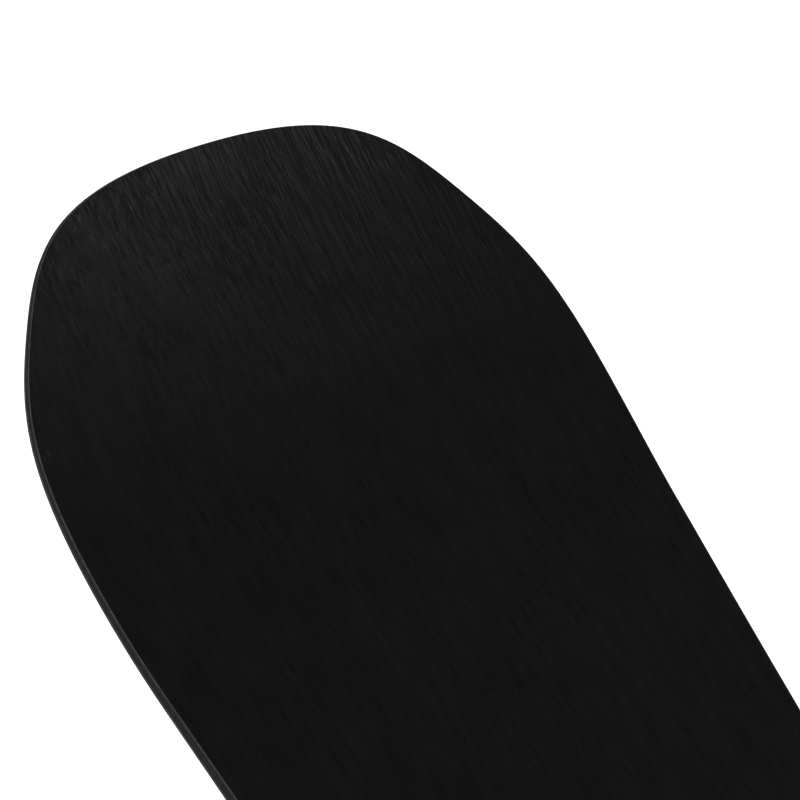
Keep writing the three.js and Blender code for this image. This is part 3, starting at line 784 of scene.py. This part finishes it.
def film_paint():
    paint, tree, shader = new_paint("black_veneer_film", roughness=0.27, specular=0.12)
    grain = streaks(tree, 320, 38, 0.32, 0.68)
    clusters = marks(tree, 16, 0.42, 0.58)
    short_pores = streaks(tree, 600, 85, 0.48, 0.68)
    pores = lay(tree, "Math", {"operation": "MULTIPLY"}, _0=short_pores, _1=clusters).outputs[0]
    clouds = marks(tree, 22, 0.35, 0.65)
    veneer = blend_of(tree, grain, pores, 0.4)
    figure = blend_of(tree, veneer, clouds, 0.25)
    film = tint(tree, figure, (0.0007, 0.0007, 0.0007), (0.0015, 0.0015, 0.0015))
    here = lay(tree, "TexCoord").outputs["Object"]
    away = lay(tree, "VectorMath", {"operation": "DISTANCE"}, _0=here, _1=NICK_PLACE).outputs["Value"]
    near = lay(tree, "MapRange", _0=away, _1=NICK_SIZE, _2=NICK_SIZE / 2).outputs[0]
    flecks = marks(tree, 420, 0.5, 0.56)
    nick = lay(tree, "Math", {"operation": "MULTIPLY"}, _0=near, _1=flecks).outputs[0]
    nicked = lay(tree, "Mix", {"data_type": "RGBA"}, _0=nick, _6=film, _7=(0.030, 0.030, 0.030, 1))
    tree.links.new(nicked.outputs[2], shader.inputs["Base Color"])
    tree.links.new(between(tree, figure, 0.18, 0.245), shader.inputs["Roughness"])
    tree.links.new(between(tree, figure, 0.165, 0.070), shader.inputs["Specular IOR Level"])
    relief(tree, shader, veneer, 0.00013)
    return paint


def rim_highlight_paint():
    paint, tree, shader = new_paint("milled_rim_painted_highlight", roughness=0.45, specular=0.5)
    cutter = streaks(tree, 300, 300, 0.4, 0.6)
    # Painted highlight: the rim is coloured far lighter than the film to stand for the light its
    # chamfer catches.
    colour = tint(tree, cutter, (0.022, 0.022, 0.023), (0.038, 0.038, 0.039))
    tree.links.new(colour, shader.inputs["Base Color"])
    relief(tree, shader, cutter, 0.00003)
    return paint


def through_holes(side):
    """Rods where the insert barrels and the screws pass through the layers."""
    rods = []
    barrel_rod = [(HOLE_RADIUS, CORE_TOP), (HOLE_RADIUS, FOOT_THICKNESS + OVERSHOOT)]
    screw_rod = [(SCREW_HOLE_RADIUS, -SCREW_HOLE_DEPTH), (SCREW_HOLE_RADIUS, SCREW_HOLE_HEIGHT)]
    for spots in INSERT_PACKS.values():
        for x, y in spots:
            rods.append(turned("insert_hole", barrel_rod, (mirror_to(side, x), y), HOLE_SIDES))
    for y, sizes in FASTENERS.values():
        across = sizes["post"] if side == "right" else -sizes["pivot"]
        for along in screw_places(sizes).values():
            rod = turned("screw_hole", screw_rod, (across, along), SCREW_HOLE_SIDES)
            settle(rod, mounting_frame(y))
            rods.append(rod)
    return gather("holes", rods)


black_film = film_paint()
sheet_rim_highlight = rim_highlight_paint()
sheet_line = board_outline(SHEET_INSET)
sheet_shoulder = board_outline(SHEET_INSET + RIM_BREAK)
sheet_crown = board_outline(SHEET_INSET + CHAMFER_WIDTH - RIM_BREAK)
sheet_flat = board_outline(SHEET_INSET + CHAMFER_WIDTH + FILM_START)
whole_sheet = stack_loops("whole_sheet", [
    (sheet_line, SHEET_BOTTOM), (sheet_line, CHAMFER_FOOT - RIM_DROP),
    (sheet_shoulder, CHAMFER_FOOT + RIM_LIFT), (sheet_crown, FOOT_THICKNESS - RIM_DROP),
    (sheet_flat, FOOT_THICKNESS)])
whole_sheet.data.materials.append(black_film)
whole_sheet.data.materials.append(sheet_rim_highlight)
# The chamfer faces take the lighter rim colour, a painted highlight along the edge.
for polygon in whole_sheet.data.polygons:
    if SHEET_BOTTOM < polygon.center.z < FOOT_THICKNESS - RIM_LIFT:
        polygon.material_index = 1
laminate_line = board_outline(TOP_SHELL)
whole_laminate = stack_loops("whole_laminate", [
    (laminate_line, LAMINATE_BOTTOM), (laminate_line, LAMINATE_TOP)])
for side in SIDES:
    sheet = saw_half(whole_sheet, f"top_film_{side}", side, smooth=FILM_BLEND_ANGLE)
    carve(sheet, through_holes(side))
    finish_piece(sheet, [], f"{side}_half", f"topsheet_{side}")
    cloth = saw_half(whole_laminate, f"top_laminate_{side}", side)
    carve(cloth, through_holes(side))
    finish_piece(cloth, [glass_cloth], f"{side}_half", f"upper_laminate_{side}")
bpy.data.objects.remove(whole_sheet)
bpy.data.objects.remove(whole_laminate)


# ------------------------------------------------------- the hooks and tail clip
# Black plates, screwed to each half. A steel arm swings on the headed pin of
# the left plate, and its curved slot takes the headed post of the right one.
PLATE_LOW = 0.3 * MM
PLATE_HIGH = 2.3 * MM
ARM_LOW = 2.6 * MM
ARM_HIGH = 5.2 * MM
CAP_LOW = 5.5 * MM
CAP_HIGH = 7.1 * MM
CAP_RADIUS = 5.5 * MM
CAP_BREAK = 0.3 * MM
CAP_SIDE = 0.7 * MM
CAP_DOME = ((0.35 * MM, 0.45 * MM), (1.4 * MM, 0.12 * MM), (3.2 * MM, 0))
CAP_DIMPLE = (1.6 * MM, 1.3 * MM, 0.35 * MM)
PIN_RADIUS = 3.0 * MM
PIN_HOLE = 3.3 * MM
SLOT_HALF = 3.4 * MM
HEAD_WALL = 4 * MM
SHANK_RADIUS = 2.0 * MM
SCREW_GAP = 0.25 * MM
SCREW_RIM = 0.1 * MM
SCREW_FACE = 0.25 * MM
SOCKET_RADIUS = 1.3 * MM
SOCKET_DEPTH = 1.2 * MM
PLATE_CORNER = 4 * MM
PLATE_MARGIN = 1 * MM
PLATE_BREAK = 0.35 * MM
ARM_BREAK = 0.4 * MM
ARM_ROUNDING_ANGLE = 25
ARM_END_STEPS = 16
ARM_SLOT_STEPS = 10
ARM_TIP_STEPS = 14
SOCKET_SIDES = 6
SCREW_DEPTHS = {"front_hook": 4.5 * MM, "rear_hook": 4.5 * MM, "tail_clip": 1.6 * MM}


def plate_paint():
    paint, tree, shader = new_paint("black_plate", roughness=0.4, metallic=0.6)
    wear = marks(tree, 220, 0.55, 0.8)
    colour = tint(tree, wear, (0.012, 0.012, 0.013), (0.10, 0.10, 0.105))
    tree.links.new(colour, shader.inputs["Base Color"])
    tree.links.new(between(tree, wear, 0.35, 0.55), shader.inputs["Roughness"])
    relief(tree, shader, marks(tree, 900), 0.00003)
    return paint


def arm_paint():
    paint, tree, shader = new_paint("tumbled_steel", metallic=1.0)
    brushed = streaks(tree, 1800, 160)
    wear = marks(tree, 160)
    pattern = blend_of(tree, brushed, wear, 0.5)
    colour = tint(tree, pattern, (0.30, 0.30, 0.31), (0.46, 0.46, 0.47))
    tree.links.new(colour, shader.inputs["Base Color"])
    tree.links.new(between(tree, pattern, 0.28, 0.48), shader.inputs["Roughness"])
    relief(tree, shader, brushed, 0.00002, 0.6)
    return paint


def screw_paint():
    paint, tree, shader = new_paint("dark_zinc_screw", roughness=0.35, metallic=1.0)
    wear = marks(tree, 400)
    colour = tint(tree, wear, (0.09, 0.09, 0.10), (0.22, 0.22, 0.23))
    tree.links.new(colour, shader.inputs["Base Color"])
    tree.links.new(between(tree, wear, 0.3, 0.5), shader.inputs["Roughness"])
    relief(tree, shader, marks(tree, 1200), 0.00002)
    return paint


black_plate = plate_paint()
hook_steel = arm_paint()
screw_zinc = screw_paint()


def countersinks(sizes):
    """Tools for the two screw holes of a plate."""
    head, shank = SCREW_HEAD_RADIUS + SCREW_GAP, SHANK_RADIUS + SCREW_GAP
    profile = [(shank, PLATE_LOW - OVERSHOOT), (shank, PLATE_HIGH - (head - shank)),
               (head, PLATE_HIGH), (head, PLATE_HIGH + OVERSHOOT)]
    tools = [turned("countersink", profile, (0, y)) for y in screw_places(sizes).values()]
    return gather("countersinks", tools)


def screwed_plate(name, half_width, sizes):
    """A plate about its own middle, with its edges broken and two screw holes."""
    corner = (half_width, sizes["length"] / 2)
    line = round_plate((-corner[0], -corner[1]), corner, PLATE_CORNER)
    plate = stack_loops(name, [(line, PLATE_LOW), (line, PLATE_HIGH)])
    soften(plate, PLATE_BREAK)
    carve(plate, countersinks(sizes))
    return plate


def headed_pin(name):
    """A riveted pin with a shallow domed head and a dimple in it."""
    dome = [(CAP_RADIUS - inwards, CAP_HIGH - below) for inwards, below in CAP_DOME]
    dimple_rim, dimple_floor, dimple_depth = CAP_DIMPLE
    return turned(name, [
        (PIN_RADIUS, PLATE_LOW), (PIN_RADIUS, CAP_LOW), (CAP_RADIUS - CAP_BREAK, CAP_LOW),
        (CAP_RADIUS, CAP_LOW + CAP_BREAK), (CAP_RADIUS, CAP_LOW + CAP_SIDE), *dome,
        (dimple_rim, CAP_HIGH), (dimple_floor, CAP_HIGH - dimple_depth)])


def swing_arm(name, sizes):
    """A flat arm pointing along +Y from its pin, with a slot round the post."""
    reach = sizes["pivot"] + sizes["post"]
    half = sizes["width"] / 2
    inner, outer = reach - SLOT_HALF, reach + SLOT_HALF
    tip = outer + HEAD_WALL

    def lead(radius):
        """The angle at which a circle about the pin meets the arm's side."""
        return 90 - math.degrees(math.asin(half / radius))

    line = arc((0, 0), half, 180, 360, ARM_END_STEPS)
    line += arc((0, 0), inner, lead(inner), 90, ARM_SLOT_STEPS)
    line += arc((0, reach), SLOT_HALF, 270, 90, ARM_END_STEPS)[1:-1]
    line += arc((0, 0), outer, 90, lead(outer), ARM_SLOT_STEPS)
    line += arc((0, 0), tip, lead(tip), 180 - lead(tip), ARM_TIP_STEPS)
    arm = stack_loops(name, [(line, ARM_LOW), (line, ARM_HIGH)])
    soften(arm, ARM_BREAK, ARM_ROUNDING_ANGLE)
    carve(arm, turned("pin_hole", [(PIN_HOLE, ARM_LOW - OVERSHOOT), (PIN_HOLE, ARM_HIGH + OVERSHOOT)]))
    return arm


def hex_screw(name, depth):
    """A countersunk screw with a hexagon socket, down to a depth in the board."""
    cone = SCREW_HEAD_RADIUS - SHANK_RADIUS
    screw = turned(name, [
        (SHANK_RADIUS, -depth), (SHANK_RADIUS, PLATE_HIGH - cone),
        (SCREW_HEAD_RADIUS - SCREW_RIM, PLATE_HIGH - SCREW_RIM),
        (SCREW_HEAD_RADIUS - SCREW_FACE, PLATE_HIGH)])
    socket = [(SOCKET_RADIUS, PLATE_HIGH - SOCKET_DEPTH), (SOCKET_RADIUS, PLATE_HIGH + OVERSHOOT)]
    carve(screw, turned("socket", socket, sides=SOCKET_SIDES))
    return screw


def fit(piece, place, frame_matrix, paint, body, node):
    """Sets a piece down at a place in its fastener, then finishes it."""
    settle(piece, frame_matrix @ Matrix.Translation(place))
    only(piece)
    bpy.ops.object.shade_smooth_by_angle(angle=math.radians(FASTENER_BLEND_ANGLE))
    finish_piece(piece, [paint], body, node)


plate_bore = [(PIN_HOLE, PLATE_LOW - OVERSHOOT), (PIN_HOLE, PLATE_HIGH + OVERSHOOT)]
for fastener, (along, sizes) in FASTENERS.items():
    stand = mounting_frame(along)
    pivot, post = (-sizes["pivot"], 0, 0), (sizes["post"], 0, 0)
    pivot_plate = screwed_plate(f"{fastener}_left_plate", sizes["width"] / 2 + PLATE_MARGIN, sizes)
    carve(pivot_plate, turned("pin_hole", plate_bore))
    fit(pivot_plate, pivot, stand, black_plate, "left_half", f"{fastener}_pivot_plate")
    fit(headed_pin(f"{fastener}_pin"), pivot, stand, hook_steel, "left_half",
        f"{fastener}_pivot_pin")
    fit(swing_arm(f"{fastener}_swing_arm", sizes), pivot, stand, hook_steel,
        f"{fastener}_arm", f"{fastener}_arm")
    catch = screwed_plate(f"{fastener}_right_plate", sizes["width"] / 2, sizes)
    carve(catch, headed_pin("post"), "UNION")
    fit(catch, post, stand, black_plate, "right_half", f"{fastener}_catch_plate")
    plates = (("pivot", pivot[0], "left_half"), ("catch", post[0], "right_half"))
    for end, spot in screw_places(sizes).items():
        for part, x, body in plates:
            screw = hex_screw(f"{fastener}_{part}_hex_{end}", SCREW_DEPTHS[fastener])
            node = f"{fastener}_{part}_screw_{end}"
            fit(screw, (x, spot, 0), stand, screw_zinc, body, node)
